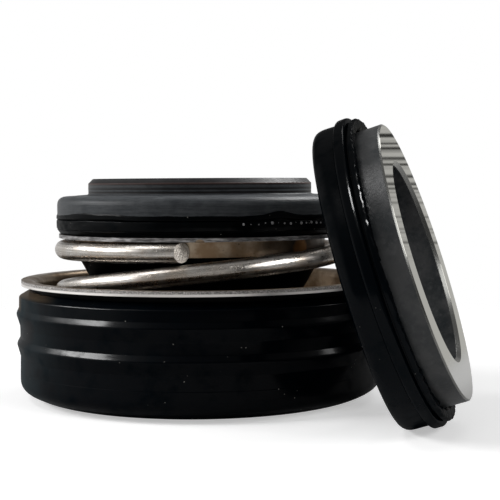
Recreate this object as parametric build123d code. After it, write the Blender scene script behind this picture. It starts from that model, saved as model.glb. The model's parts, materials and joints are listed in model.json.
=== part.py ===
from build123d import *
import os
from math import cos, hypot, pi, radians, sin, sqrt

# Component mechanical seal for a 20 mm shaft: a spring-loaded head that stands
# face up, and its mating seat, which leans against the rim of the head's cup.
# Millimetres. The head's axis is Z, and z = 0 is the underside of its base.
# Radii are built outwards from the shaft hole, and heights upwards from z = 0.

# ---------------------------------------------------------------- driving sizes
SHAFT_HOLE_R = 11.0            # clear bore of the head, for a 20 mm shaft
FIT_GAP = 0.05                 # clearance between pieces that slide or deform

# bellows tail, and the ring that clamps its foot
TAIL_CLEARANCE = 0.2           # inside of the tail tube, beyond the shaft hole
BELLOWS_WALL = 1.1
TAIL_FOOT = 1.4                # rubber foot that lies on the cup's floor
CLAMP_SHEET = 0.5
CLAMP_COLLAR = 3.4             # height of the clamp ring's collar
CLAMP_BEND = 0.4
CLAMP_PAST_COIL = 1.0          # edge of ring and foot, beyond the coil's mean

# spring
WIRE_D = 2.2
COIL_ROUND_CLAMP = 2.25        # clamp ring's collar to the wire
COIL_UNDER_FLANGE = 0.07         # wire to the follower's flange, at the cut end
CLOSED_DRIFT = 1.0             # fall of a closed turn, per turn
TOP_CLOSED_TURNS = 0.72
RAMP_TURNS = 0.3               # from a closed turn to full pitch, and back
BOTTOM_CLOSED_TURNS = 0.75
COIL_PITCH = 11.0              # fall of the open coil, per turn
COIL_START_DEG = -95.0         # where the cut end lies
COIL_STEPS = 12                # path points per turn

# pressed steel cup
CUP_SHEET = 0.6
CUP_ROUND_COIL = 2.1           # wire to the inside of the wall
CUP_DEPTH = 11.8               # floor to the top of the rim
CUP_CORNER = 2.0               # outer bend between floor and wall
RIM_REACH = 1.27               # turned-out rim, beyond the wall
RIM_BEND = 0.9                 # bend between wall and rim

# rubber jacket of the base; each wall is measured from the cup's wall
FLOOR_RUBBER = 1.6             # rubber under the cup's floor
LIP_WALL = 1.35                # rubber inside the hole of the cup's floor
RIM_GAP = 0.65                 # rubber top, below the rim
TOP_WALL = 0.4
TOP_CHAMFER_DROP = 0.7
SHOULDER_WALL = 1.58           # above the upper rib
RIB_WALL = 1.88                # both ribs, at their crests
GROOVE_WALL = 1.48             # between the ribs
LAND_WALL = 1.48               # below the ribs
UPPER_RIB_DROP = 2.65          # rubber top to the upper crest
RIB_PITCH = 3.5
RIB_RISE = 0.7                 # from a rib's crest up to its upper edge
RIB_TAIL = 1.45                # from a rib's crest down to where it fades out
RIB_ROUND = 0.45
FOOT_LOW_IN = 2.72             # sloped lower edge: where it meets the underside
FOOT_LOW_ROUND = 6.4
FOOT_HIGH_UP = 1.31            # and where it meets the land
FOOT_HIGH_ROUND = 2.2

# follower
COIL_ABOVE_RIM = 4.9           # cup's rim to the follower's flange
FOLLOWER_SHEET = 0.43
FOLLOWER_PAST_COIL = 0.6       # flange edge, beyond the coil's mean
SKIRT_IN_COIL = 0.2            # skirt to the wire
SKIRT_H = 1.8                  # skirt below the flange's underside
FOLLOWER_BEND = 0.35
DIMPLE_R = 0.62                # half-round groove across the flange's edge
DIMPLE_DEPTH = 0.3
DIMPLE_LENGTH = 1.3
DIMPLE_DEG = -88.0

# bellows collar and carbon ring
COLLAR_PAST_FOLLOWER = 0.2     # outside of collar and ring, beyond the flange
COLLAR_H = 2.5                 # rubber between the follower and the ring's body
COLLAR_WALL = 1.6              # rubber outside the carbon spigot
COLLAR_SHELF = 0.75            # rubber under the carbon spigot
SHELF_UNDER = 0.35             # that rubber, below the follower's flange
SHELF_CLEARANCE = 0.6          # hole in the shelf, beyond the shaft hole
CONE_TOP_DROP = 0.7            # from the skirt's end down to the rubber cone
CONE_H = 3.8
CONE_ROUND = 0.8
RING_BODY_H = 2.0              # carbon above the collar
RING_TOP_FALL = 0.25           # how far the body's top falls towards its shoulder
RING_ROUND = 1.1               # rounded shoulder
NOSE_WIDTH = 2.3               # raised running face
NOSE_H = 1.85
NOSE_CHAMFER = 0.55
BORE_CHAMFER = 0.3

# mating seat, measured along its own axis; each wall from the hard ring's outside
SEAT_BORE_UNDER = 0.59         # its bore, less than the shaft hole's radius
SEAT_RING_WIDTH = 4.35
SEAT_PROUD = 2.3               # hard ring above the rubber's front lip
SEAT_SUNK = 3.69               # hard ring inside the rubber
SEAT_EDGE = 0.16               # chamfers round the hard ring
SEAT_BORE_CHAMFER = 0.38       # at the running face
SEAT_WEB = 1.4                 # rubber behind the hard ring
SEAT_WEB_HOLE = 1.45           # hole in that rubber, beyond the bore
SEAT_BAND_WALL = 1.29          # rear band
SEAT_BACK_ROUND = 1.64
SEAT_RIB_WALL = 1.74           # second rib
SEAT_RIB_H = 1.6
SEAT_RIB_ROUND = 0.5
SEAT_GROOVE_WALL = 1.1         # groove between the rib and the front lip
SEAT_GROOVE_H = 0.15
SEAT_LIP_WALL = 1.36
SEAT_LIP_H = 0.55

# how the seat leans; its rear band isn't quite square to its hard ring
SEAT_TILT = 17.87              # its axis above level, degrees
SEAT_YAW = 13.83               # its axis turned from +X towards -Y, degrees
SEAT_BAND_TILT = 17.09         # the same two angles for the rear band
SEAT_BAND_YAW = 10.45
SEAT_FACE_Y = -22.64           # centre of its running face
LEAN_GAP = 0.05                # clearance where it meets the head
LEAN_START = 80.0              # the search for that place comes in from here
LEAN_ACCURACY = 0.0002
LEAN_POINTS = 360              # points tried on each edge of the head

# ---------------------------------------------------------------- radii, outwards
TAIL_BORE_R = SHAFT_HOLE_R + TAIL_CLEARANCE
TAIL_R = TAIL_BORE_R + BELLOWS_WALL
LIP_R = SHAFT_HOLE_R + LIP_WALL
CUP_HOLE_R = LIP_R + FIT_GAP
CLAMP_HOLE_R = TAIL_R + FIT_GAP
CLAMP_COLLAR_R = CLAMP_HOLE_R + CLAMP_SHEET
COIL_R = CLAMP_COLLAR_R + COIL_ROUND_CLAMP + WIRE_D / 2
CLAMP_R = COIL_R + CLAMP_PAST_COIL
CUP_INNER_R = COIL_R + WIRE_D / 2 + CUP_ROUND_COIL
CUP_WALL_R = CUP_INNER_R + CUP_SHEET
CUP_RIM_R = CUP_WALL_R + RIM_REACH
SHOULDER_R = CUP_WALL_R + SHOULDER_WALL
RIB_R = CUP_WALL_R + RIB_WALL
GROOVE_R = CUP_WALL_R + GROOVE_WALL
LAND_R = CUP_WALL_R + LAND_WALL
SKIRT_R = COIL_R - WIRE_D / 2 - SKIRT_IN_COIL
SKIRT_INNER_R = SKIRT_R - FOLLOWER_SHEET
FOLLOWER_R = COIL_R + FOLLOWER_PAST_COIL
RING_R = FOLLOWER_R + COLLAR_PAST_FOLLOWER
SPIGOT_R = RING_R - COLLAR_WALL
NOSE_R = SHAFT_HOLE_R + NOSE_WIDTH
SEAT_BORE_R = SHAFT_HOLE_R - SEAT_BORE_UNDER
SEAT_RING_R = SEAT_BORE_R + SEAT_RING_WIDTH
SEAT_WEB_HOLE_R = SEAT_BORE_R + SEAT_WEB_HOLE
SEAT_BAND_R = SEAT_RING_R + SEAT_BAND_WALL
SEAT_RIB_R = SEAT_RING_R + SEAT_RIB_WALL
SEAT_GROOVE_R = SEAT_RING_R + SEAT_GROOVE_WALL
SEAT_LIP_R = SEAT_RING_R + SEAT_LIP_WALL

# ---------------------------------------------------------------- heights, upwards
CUP_FLOOR_Z = FLOOR_RUBBER + CUP_SHEET
CUP_RIM_Z = CUP_FLOOR_Z + CUP_DEPTH
JACKET_TOP_Z = CUP_RIM_Z - CUP_SHEET - RIM_GAP
SHOULDER_TOP_Z = JACKET_TOP_Z - TOP_CHAMFER_DROP
UPPER_CREST_Z = JACKET_TOP_Z - UPPER_RIB_DROP
LOWER_CREST_Z = UPPER_CREST_Z - RIB_PITCH
FOOT_TOP_Z = CUP_FLOOR_Z + TAIL_FOOT
CLAMP_TOP_Z = FOOT_TOP_Z + CLAMP_SHEET
FOLLOWER_Z = CUP_RIM_Z + COIL_ABOVE_RIM
FLANGE_TOP_Z = FOLLOWER_Z + FOLLOWER_SHEET
SKIRT_END_Z = FOLLOWER_Z - SKIRT_H
COLLAR_BASE_Z = FLANGE_TOP_Z + FIT_GAP
COLLAR_TOP_Z = COLLAR_BASE_Z + COLLAR_H
RING_BASE_Z = COLLAR_TOP_Z + FIT_GAP
RING_TOP_Z = RING_BASE_Z + RING_BODY_H
FACE_Z = RING_TOP_Z + NOSE_H
COIL_HIGH_Z = FOLLOWER_Z - COIL_UNDER_FLANGE - WIRE_D / 2
COIL_LOW_Z = CLAMP_TOP_Z + FIT_GAP + WIRE_D / 2
SEAT_BAND_BACK = SEAT_SUNK + SEAT_WEB   # front lip to the rubber's back
SEAT_RIB_START = SEAT_LIP_H + SEAT_GROOVE_H   # front lip to the rib
SEAT_RIB_END = SEAT_RIB_START + SEAT_RIB_H


# ---------------------------------------------------------------- turned rings
def half_turn_tangent(before, corner, after):
    """Tangent of half the turn that an outline makes at a corner."""
    ax, ay = corner[0] - before[0], corner[1] - before[1]
    bx, by = after[0] - corner[0], after[1] - corner[1]
    cross = abs(ax * by - ay * bx)
    return cross / (hypot(ax, ay) * hypot(bx, by) + ax * bx + ay * by)


def fitted_roundings(corners):
    """Each corner's rounding, made smaller where two would meet on one side."""
    count = len(corners)
    tangents = []
    for i, (r, z, rounding) in enumerate(corners):
        tangents.append(rounding * half_turn_tangent(corners[i - 1], (r, z), corners[(i + 1) % count]))
    shares = [1.0] * count
    for i in range(count):
        j = (i + 1) % count
        side = hypot(corners[j][0] - corners[i][0], corners[j][1] - corners[i][1])
        wanted = tangents[i] + tangents[j]
        if wanted > 0:
            share = 0.98 * side / wanted
            shares[i] = min(shares[i], share)
            shares[j] = min(shares[j], share)
    return [rounding * share for (_, _, rounding), share in zip(corners, shares)]


def turned(corners):
    """Solid ring about Z from its (radius, height, rounding) corners."""
    points = [(r, 0, z) for r, z, _ in corners]
    outline = FilletPolyline(*points, radius=fitted_roundings(corners), close=True)
    return revolve(make_face(outline.edges()), Axis.Z, 360)


# ---------------------------------------------------------------- base
def housing_jacket():
    """Rubber over the outside of the cup, with two ribs and a sloped foot."""
    lip_z = CUP_FLOOR_Z - FIT_GAP
    corners = [
        (SHAFT_HOLE_R, 0, 0),
        (LAND_R - FOOT_LOW_IN, 0, FOOT_LOW_ROUND),
        (LAND_R, FOOT_HIGH_UP, FOOT_HIGH_ROUND),
        (LAND_R, LOWER_CREST_Z - RIB_TAIL, RIB_ROUND),
        (RIB_R, LOWER_CREST_Z, RIB_ROUND),
        (GROOVE_R, LOWER_CREST_Z + RIB_RISE, RIB_ROUND / 2),
        (GROOVE_R, UPPER_CREST_Z - RIB_TAIL, RIB_ROUND),
        (RIB_R, UPPER_CREST_Z, RIB_ROUND),
        (SHOULDER_R, UPPER_CREST_Z + RIB_RISE, RIB_ROUND / 2),
        (SHOULDER_R, SHOULDER_TOP_Z, RIB_ROUND / 2),
        (CUP_WALL_R + TOP_WALL, JACKET_TOP_Z, 0),
        (CUP_WALL_R, JACKET_TOP_Z, 0),
        (CUP_WALL_R, FLOOR_RUBBER, CUP_CORNER),
        (LIP_R, FLOOR_RUBBER, 0),
        (LIP_R, lip_z, 0),
        (SHAFT_HOLE_R, lip_z, 0),
    ]
    return turned(corners)


def spring_cup():
    """Deep pressed cup with a turned-out rim and a hole in its floor."""
    under_rim = CUP_RIM_Z - CUP_SHEET
    corners = [
        (CUP_HOLE_R, FLOOR_RUBBER, 0),
        (CUP_WALL_R, FLOOR_RUBBER, CUP_CORNER),
        (CUP_WALL_R, under_rim, RIM_BEND - CUP_SHEET),
        (CUP_RIM_R, under_rim, 0),
        (CUP_RIM_R, CUP_RIM_Z, 0),
        (CUP_INNER_R, CUP_RIM_Z, RIM_BEND),
        (CUP_INNER_R, CUP_FLOOR_Z, CUP_CORNER - CUP_SHEET),
        (CUP_HOLE_R, CUP_FLOOR_Z, 0),
    ]
    return turned(corners)


def tail_clamp_ring():
    """Ring that presses the bellows foot down and centres the spring."""
    collar_top_z = CLAMP_TOP_Z + CLAMP_COLLAR
    corners = [
        (CLAMP_HOLE_R, FOOT_TOP_Z, CLAMP_BEND),
        (CLAMP_R, FOOT_TOP_Z, 0),
        (CLAMP_R, CLAMP_TOP_Z, 0),
        (CLAMP_COLLAR_R, CLAMP_TOP_Z, CLAMP_BEND / 2),
        (CLAMP_COLLAR_R, collar_top_z, 0),
        (CLAMP_HOLE_R, collar_top_z, 0),
    ]
    return turned(corners)


# ---------------------------------------------------------------- rubber bellows
def bellows():
    """Collar round the carbon ring, cone inside the coil, tail tube and foot."""
    neck_r = SKIRT_INNER_R - FIT_GAP
    neck_bore_r = neck_r - BELLOWS_WALL
    cone_top_z = SKIRT_END_Z - CONE_TOP_DROP
    cone_foot_z = cone_top_z - CONE_H
    shelf_z = COLLAR_BASE_Z + COLLAR_SHELF
    shelf_under_z = COLLAR_BASE_Z - SHELF_UNDER
    shelf_r = SHAFT_HOLE_R + SHELF_CLEARANCE
    pocket_r = SPIGOT_R + FIT_GAP
    corners = [
        (TAIL_BORE_R, CUP_FLOOR_Z, 0),
        (CLAMP_R, CUP_FLOOR_Z, 0),
        (CLAMP_R, FOOT_TOP_Z, 0),
        (TAIL_R, FOOT_TOP_Z, 0),
        (TAIL_R, cone_foot_z, CONE_ROUND),
        (neck_r, cone_top_z, CONE_ROUND),
        (neck_r, COLLAR_BASE_Z, 0),
        (RING_R, COLLAR_BASE_Z, 0),
        (RING_R, COLLAR_TOP_Z, 0),
        (pocket_r, COLLAR_TOP_Z, 0),
        (pocket_r, shelf_z, 0),
        (shelf_r, shelf_z, 0),
        (shelf_r, shelf_under_z, SHELF_UNDER),
        (neck_bore_r, shelf_under_z, SHELF_UNDER),
        (neck_bore_r, cone_top_z, CONE_ROUND),
        (TAIL_BORE_R, cone_foot_z, CONE_ROUND),
    ]
    return turned(corners)


# ---------------------------------------------------------------- spring
def turns_at_pitch():
    """Turns at full pitch that bring the wire down onto the clamp ring."""
    other_turns = TOP_CLOSED_TURNS + 2 * RAMP_TURNS + BOTTOM_CLOSED_TURNS
    drop = COIL_HIGH_Z - COIL_LOW_Z - CLOSED_DRIFT * other_turns
    return (drop - COIL_PITCH * RAMP_TURNS) / (COIL_PITCH + CLOSED_DRIFT)


OPEN_TURNS = turns_at_pitch()
COIL_TURNS = TOP_CLOSED_TURNS + 2 * RAMP_TURNS + OPEN_TURNS + BOTTOM_CLOSED_TURNS


def coil_fall(turns):
    """How far the wire has come down, that many turns from its cut end."""
    ramp_in = min(max(turns - TOP_CLOSED_TURNS, 0), RAMP_TURNS)
    open_part = min(max(turns - TOP_CLOSED_TURNS - RAMP_TURNS, 0), OPEN_TURNS)
    ramp_out = min(max(turns - TOP_CLOSED_TURNS - RAMP_TURNS - OPEN_TURNS, 0), RAMP_TURNS)
    ramp_turns = ramp_in**2 / (2 * RAMP_TURNS) + ramp_out - ramp_out**2 / (2 * RAMP_TURNS)
    return CLOSED_DRIFT * turns + COIL_PITCH * (open_part + ramp_turns)


def coil_point(turns):
    """Centre of the wire; the coil runs clockwise seen from above."""
    angle = radians(COIL_START_DEG) - 2 * pi * turns
    return Vector(COIL_R * cos(angle), COIL_R * sin(angle), COIL_HIGH_Z - coil_fall(turns))


def spring():
    """Round wire coil, closed at both ends and cut square."""
    steps = round(COIL_TURNS * COIL_STEPS)
    points = [coil_point(COIL_TURNS * i / steps) for i in range(steps + 1)]
    path = Spline(*points)
    wire_end = Plane(origin=path @ 0, z_dir=path % 0) * Circle(WIRE_D / 2)
    return sweep(wire_end, path)


# ---------------------------------------------------------------- face unit
def spring_follower():
    """Thin L-section ring between spring and bellows collar."""
    corners = [
        (SKIRT_INNER_R, SKIRT_END_Z, 0),
        (SKIRT_R, SKIRT_END_Z, 0),
        (SKIRT_R, FOLLOWER_Z, FOLLOWER_BEND / 2),
        (FOLLOWER_R, FOLLOWER_Z, 0),
        (FOLLOWER_R, FLANGE_TOP_Z, 0),
        (SKIRT_INNER_R, FLANGE_TOP_Z, FOLLOWER_BEND),
    ]
    dimple_z = FOLLOWER_Z - DIMPLE_R + DIMPLE_DEPTH
    dimple = Cylinder(DIMPLE_R, 2 * DIMPLE_LENGTH, rotation=(0, 90, 0))
    dimple = Rot(0, 0, DIMPLE_DEG) * Pos(FOLLOWER_R, 0, dimple_z) * dimple
    return turned(corners) - dimple


def seal_face_ring():
    """Turned carbon ring: spigot in the collar, body, and raised running face."""
    spigot_z = COLLAR_BASE_Z + COLLAR_SHELF + FIT_GAP
    corners = [
        (SHAFT_HOLE_R, spigot_z, 0),
        (SPIGOT_R, spigot_z, 0),
        (SPIGOT_R, RING_BASE_Z, 0),
        (RING_R, RING_BASE_Z, 0),
        (RING_R, RING_TOP_Z - RING_TOP_FALL, RING_ROUND),
        (NOSE_R, RING_TOP_Z, 0),
        (NOSE_R, FACE_Z - NOSE_CHAMFER, 0),
        (NOSE_R - NOSE_CHAMFER, FACE_Z, 0),
        (SHAFT_HOLE_R + BORE_CHAMFER, FACE_Z, 0),
        (SHAFT_HOLE_R, FACE_Z - BORE_CHAMFER, 0),
    ]
    return turned(corners)


# ---------------------------------------------------------------- mating seat
def seat_ring():
    """Hard ring with its running face at z = 0 and its body below."""
    back_z = -SEAT_PROUD - SEAT_SUNK
    corners = [
        (SEAT_BORE_R, back_z, 0),
        (SEAT_RING_R - SEAT_EDGE, back_z, 0),
        (SEAT_RING_R, back_z + SEAT_EDGE, 0),
        (SEAT_RING_R, -SEAT_EDGE, 0),
        (SEAT_RING_R - SEAT_EDGE, 0, 0),
        (SEAT_BORE_R + SEAT_BORE_CHAMFER, 0, 0),
        (SEAT_BORE_R, -SEAT_BORE_CHAMFER, 0),
    ]
    return turned(corners)


def seat_front():
    """Front lip and rib of the seat's rubber, with the lip's face at z = 0."""
    rib_slope = SEAT_RIB_H / 4
    corners = [
        (SEAT_BORE_R, -SEAT_RIB_END, 0),
        (SEAT_BAND_R - SEAT_RIB_ROUND, -SEAT_RIB_END, 0),
        (SEAT_RIB_R, -SEAT_RIB_END + rib_slope, SEAT_RIB_ROUND),
        (SEAT_RIB_R, -SEAT_RIB_START - rib_slope / 2, SEAT_RIB_ROUND / 2),
        (SEAT_GROOVE_R, -SEAT_RIB_START, 0),
        (SEAT_GROOVE_R, -SEAT_LIP_H, 0),
        (SEAT_LIP_R, -SEAT_LIP_H, 0),
        (SEAT_LIP_R, 0, SEAT_LIP_H / 2),
        (SEAT_BORE_R, 0, 0),
    ]
    return turned(corners)


def seat_band():
    """Rear band of the seat's rubber; its front end is inside the rib."""
    corners = [
        (SEAT_BORE_R, -SEAT_BAND_BACK, 0),
        (SEAT_BAND_R, -SEAT_BAND_BACK, SEAT_BACK_ROUND),
        (SEAT_BAND_R, -SEAT_RIB_END + SEAT_RIB_H / 2, 0),
        (SEAT_BORE_R, -SEAT_RIB_END + SEAT_RIB_H / 2, 0),
    ]
    return turned(corners)


def seat_pocket():
    """Room for the hard ring, and the hole behind it, in the ring's own frame."""
    corners = [
        (0, -2 * SEAT_BAND_BACK, 0),
        (SEAT_WEB_HOLE_R, -2 * SEAT_BAND_BACK, 0),
        (SEAT_WEB_HOLE_R, -SEAT_SUNK, 0),
        (SEAT_RING_R - SEAT_EDGE, -SEAT_SUNK, 0),
        (SEAT_RING_R, -SEAT_SUNK + SEAT_EDGE, 0),
        (SEAT_RING_R, SEAT_PROUD, 0),
        (0, SEAT_PROUD, 0),
    ]
    return turned(corners)


def leaning_axis(tilt_deg, yaw_deg):
    """Unit vector that rises by the tilt and turns from +X towards -Y by the yaw."""
    tilt, yaw = radians(tilt_deg), radians(yaw_deg)
    return Vector(cos(tilt) * cos(yaw), -cos(tilt) * sin(yaw), sin(tilt))


SEAT_AXIS = leaning_axis(SEAT_TILT, SEAT_YAW)
BAND_AXIS = leaning_axis(SEAT_BAND_TILT, SEAT_BAND_YAW)


def seat_face_z():
    """Height of the face's centre when the rubber's lowest point is on z = 0."""
    tilt, band_tilt = radians(SEAT_TILT), radians(SEAT_BAND_TILT)
    round_r, round_depth = SEAT_BAND_R - SEAT_BACK_ROUND, SEAT_BAND_BACK - SEAT_BACK_ROUND
    drops = [
        round_r * cos(band_tilt) + round_depth * sin(band_tilt) + SEAT_BACK_ROUND,
        SEAT_RIB_R * cos(tilt) + SEAT_RIB_END * sin(tilt),
        SEAT_LIP_R * cos(tilt) + SEAT_LIP_H * sin(tilt),
    ]
    return SEAT_PROUD * sin(tilt) + max(drops)


def head_edges():
    """Points on the head's edges that the seat could lean against."""
    circles = [
        (CUP_RIM_R, CUP_RIM_Z),
        (RIB_R, UPPER_CREST_Z),
        (SHOULDER_R, SHOULDER_TOP_Z),
        (RING_R, RING_TOP_Z - RING_ROUND),
        (NOSE_R, FACE_Z - NOSE_CHAMFER),
    ]
    angles = [2 * pi * i / LEAN_POINTS for i in range(LEAN_POINTS)]
    return [(r * cos(a), r * sin(a), z) for r, z in circles for a in angles]


def lean_clearance(face, edges):
    """Distance from the rear band's rounded edge to the nearest of the points."""
    lip = face - SEAT_AXIS * SEAT_PROUD
    ax, ay, az = BAND_AXIS
    gaps = []
    for px, py, pz in edges:
        dx, dy, dz = px - lip.X, py - lip.Y, pz - lip.Z
        depth = -(dx * ax + dy * ay + dz * az)
        out = sqrt(max(dx**2 + dy**2 + dz**2 - depth**2, 0))
        past_back = max(depth - SEAT_BAND_BACK + SEAT_BACK_ROUND, 0)
        past_side = max(out - SEAT_BAND_R + SEAT_BACK_ROUND, 0)
        gaps.append(hypot(past_back, past_side) - SEAT_BACK_ROUND)
    return min(gaps)


def seat_place():
    """Centre of the running face, where the rubber's back meets the head."""
    face_z = seat_face_z()
    edges = head_edges()
    clear_x, near_x = LEAN_START, 0.0
    while clear_x - near_x > LEAN_ACCURACY:
        middle = (clear_x + near_x) / 2
        if lean_clearance(Vector(middle, SEAT_FACE_Y, face_z), edges) > LEAN_GAP:
            clear_x = middle
        else:
            near_x = middle
    return Vector(clear_x, SEAT_FACE_Y, face_z)


# ---------------------------------------------------------------- write the pieces
face_plane = Plane(origin=seat_place(), z_dir=SEAT_AXIS)
lip_centre = face_plane.origin - SEAT_AXIS * SEAT_PROUD
lip_plane = Plane(origin=lip_centre, z_dir=SEAT_AXIS)
band_plane = Plane(origin=lip_centre, z_dir=BAND_AXIS)
seat_cup = lip_plane * seat_front() + band_plane * seat_band() - lip_plane * seat_pocket()
pieces = {
    "housing_jacket": housing_jacket(),
    "spring_cup": spring_cup(),
    "tail_clamp_ring": tail_clamp_ring(),
    "bellows": bellows(),
    "spring": spring(),
    "spring_follower": spring_follower(),
    "seal_face_ring": seal_face_ring(),
    "seat_ring": face_plane * seat_ring(),
    "seat_cup": seat_cup,
}

os.makedirs("parts", exist_ok=True)
for name, shape in pieces.items():
    export_step(shape, f"parts/{name}.step")
    print(name, round(shape.volume, 2), "mm3")
print("turns of the spring:", round(COIL_TURNS, 2))
print("running face height:", round(FACE_Z, 3))
print("seat face centre:", face_plane.origin)
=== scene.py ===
# %% [markdown]
# # A component mechanical seal, dressed for its portrait
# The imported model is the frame: each ring, the coil and the leaning seat, at their real size and
# in their real place, in metres. This notebook adds what a machinist would look for on the real
# thing: drawn wire, turned carbon, moulded rubber with its flash, a sheared edge, a lapped face.

# %% The frame
import json
import math

import bmesh
import bpy
import numpy as np
from mathutils import Matrix, Vector, noise


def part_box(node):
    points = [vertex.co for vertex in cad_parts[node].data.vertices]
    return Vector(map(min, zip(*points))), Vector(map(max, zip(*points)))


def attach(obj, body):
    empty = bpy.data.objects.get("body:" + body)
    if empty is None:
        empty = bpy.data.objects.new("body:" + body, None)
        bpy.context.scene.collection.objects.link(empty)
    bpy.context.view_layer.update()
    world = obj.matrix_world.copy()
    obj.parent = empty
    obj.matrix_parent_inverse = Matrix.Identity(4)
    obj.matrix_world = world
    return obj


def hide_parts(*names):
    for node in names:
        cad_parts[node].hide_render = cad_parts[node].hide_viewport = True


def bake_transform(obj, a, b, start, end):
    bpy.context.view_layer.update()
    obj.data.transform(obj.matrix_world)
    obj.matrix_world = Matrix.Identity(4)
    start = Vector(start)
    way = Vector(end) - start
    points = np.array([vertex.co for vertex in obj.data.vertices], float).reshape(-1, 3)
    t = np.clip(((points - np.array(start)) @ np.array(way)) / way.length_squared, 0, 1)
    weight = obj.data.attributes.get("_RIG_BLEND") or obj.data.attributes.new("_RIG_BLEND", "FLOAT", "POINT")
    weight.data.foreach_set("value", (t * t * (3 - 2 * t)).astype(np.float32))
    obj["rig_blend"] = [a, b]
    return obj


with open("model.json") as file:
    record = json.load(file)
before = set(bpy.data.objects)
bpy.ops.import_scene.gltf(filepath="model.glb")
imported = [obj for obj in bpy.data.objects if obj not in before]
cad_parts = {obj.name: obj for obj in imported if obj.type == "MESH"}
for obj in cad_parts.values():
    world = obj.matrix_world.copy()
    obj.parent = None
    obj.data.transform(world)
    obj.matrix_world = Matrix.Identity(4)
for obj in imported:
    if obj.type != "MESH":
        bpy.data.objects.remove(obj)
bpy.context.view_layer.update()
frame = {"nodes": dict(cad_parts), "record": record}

# %% [markdown]
# Seal drawings are in millimetres, so the lengths here are too. One factor turns them into the
# metres of the frame. Where a size can be read from the frame, it is.

# %% Sizes read from the frame
MM = 0.001
mounts = {mount["name"]: mount for mount in frame["record"]["mounts"]}
high = {name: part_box(name)[1] / MM for name in frame["nodes"]}

shaft_hole_r = mounts["shaft_hole"]["dims"]["r_mm"]
ring_r = high["seal_face_ring"].x
face_z = high["seal_face_ring"].z
rim_r = high["spring_cup"].x
rim_z = high["spring_cup"].z
flange_r = high["spring_follower"].x
rib_r = high["housing_jacket"].x
jacket_top_z = high["housing_jacket"].z
wire_r = 1.1
coil_r = high["spring"].x - wire_r
print("ring", round(ring_r, 2), "rim", round(rim_r, 2), "coil", round(coil_r, 2))

# %% [markdown]
# The seat leans, so its parts are drawn upright, with the running face at z = 0, and then moved
# to where the frame says that its bore lies.

# %% Where the seat leans
seat_axis = Vector(mounts["seat_bore"]["axis"]).normalized()
bore_point = Vector(mounts["seat_bore"]["pos_m"])
face_point = Vector(mounts["seat_running_face"]["pos_m"])
seat_centre = bore_point + seat_axis * (face_point - bore_point).dot(seat_axis)
seat_side = Vector((-seat_axis.y, seat_axis.x, 0)).normalized()
seat_up = seat_axis.cross(seat_side)
seat_turn = Matrix((seat_side, seat_up, seat_axis)).transposed()
seat_place = Matrix.Translation(seat_centre) @ seat_turn.to_4x4()
print("seat face centre in millimetres:", [round(c / MM, 2) for c in seat_centre])

# %% [markdown]
# ## Node trees from Python sums
# Grain, dust and wear are sums of patterns, and so is the path of a coil. One class wraps the
# output of a node, so that a sum is written as a sum.


# %% Sums of sockets
class Signal:
    """One output of a node, ready to be used in a sum."""

    def __init__(self, tree, socket):
        self.tree = tree
        self.socket = socket

    def math(self, operation, *values):
        return self.tree.node("ShaderNodeMath", {"operation": operation}, values)

    def __add__(self, other):
        return self.math("ADD", self, other)

    def __radd__(self, other):
        return self.math("ADD", other, self)

    def __sub__(self, other):
        return self.math("SUBTRACT", self, other)

    def __rsub__(self, other):
        return self.math("SUBTRACT", other, self)

    def __mul__(self, other):
        return self.math("MULTIPLY", self, other)

    def __rmul__(self, other):
        return self.math("MULTIPLY", other, self)

    def __truediv__(self, other):
        return self.math("DIVIDE", self, other)

    def __rtruediv__(self, other):
        return self.math("DIVIDE", other, self)

    def __neg__(self):
        return self.math("MULTIPLY", self, -1.0)

    def __abs__(self):
        return self.math("ABSOLUTE", self)

    def root(self):
        return self.math("SQRT", self)

    def sine(self):
        return self.math("SINE", self)

    def cosine(self):
        return self.math("COSINE", self)

    def between(self, lowest, highest):
        return self.math("MINIMUM", self.math("MAXIMUM", self, lowest), highest)

    def output(self, name):
        """Another output of the same node."""
        return Signal(self.tree, self.socket.node.outputs[name])


def radius_of(x, y):
    """Distance from an axis, out of the two coordinates across it."""
    return (x * x + y * y).root()


# %% [markdown]
# Any other node comes from one method. It takes the node's type, its settings, which are set first
# because some sockets hang on them, and what goes into its sockets.


# %% Trees of nodes
class Tree:
    """A node tree, whose nodes all come from node()."""

    def __init__(self, tree):
        self.tree = tree

    def node(self, kind, settings=None, values=()):
        made = self.tree.nodes.new(kind)
        for key, value in (settings or {}).items():
            setattr(made, key, value)
        pairs = values.items() if isinstance(values, dict) else enumerate(values)
        for key, value in pairs:
            self.feed(made.inputs[key], value)
        shown = [output for output in made.outputs if output.enabled]
        return Signal(self, shown[0]) if shown else made

    def feed(self, socket, value):
        if isinstance(value, Signal):
            self.tree.links.new(value.socket, socket)
        elif socket.type == "RGBA":
            socket.default_value = (*value, 1.0)
        else:
            socket.default_value = value

    def joined(self, x, y, z):
        return self.node("ShaderNodeCombineXYZ", {}, (x, y, z))

    def parts(self, vector):
        split = self.node("ShaderNodeSeparateXYZ", {}, (vector,))
        return split.output("X"), split.output("Y"), split.output("Z")

    def vectors(self, operation, *values):
        return self.node("ShaderNodeVectorMath", {"operation": operation}, values)

    def scaled(self, vector, factor):
        values = {"Vector": vector, "Scale": factor}
        return self.node("ShaderNodeVectorMath", {"operation": "SCALE"}, values)

    def ramp(self, value, start, end):
        """0 at start and 1 at end, smooth between; start may be the larger one."""
        settings = {"interpolation_type": "SMOOTHSTEP"}
        return self.node("ShaderNodeMapRange", settings, (value, start, end, 0.0, 1.0))


# %% [markdown]
# A finish is a material with one Principled shader. Its helpers give the patterns that every
# finish here is made of: lumps of a given size, scattered cells, a mix of two colours, and a bump
# whose height is in millimetres.


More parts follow.
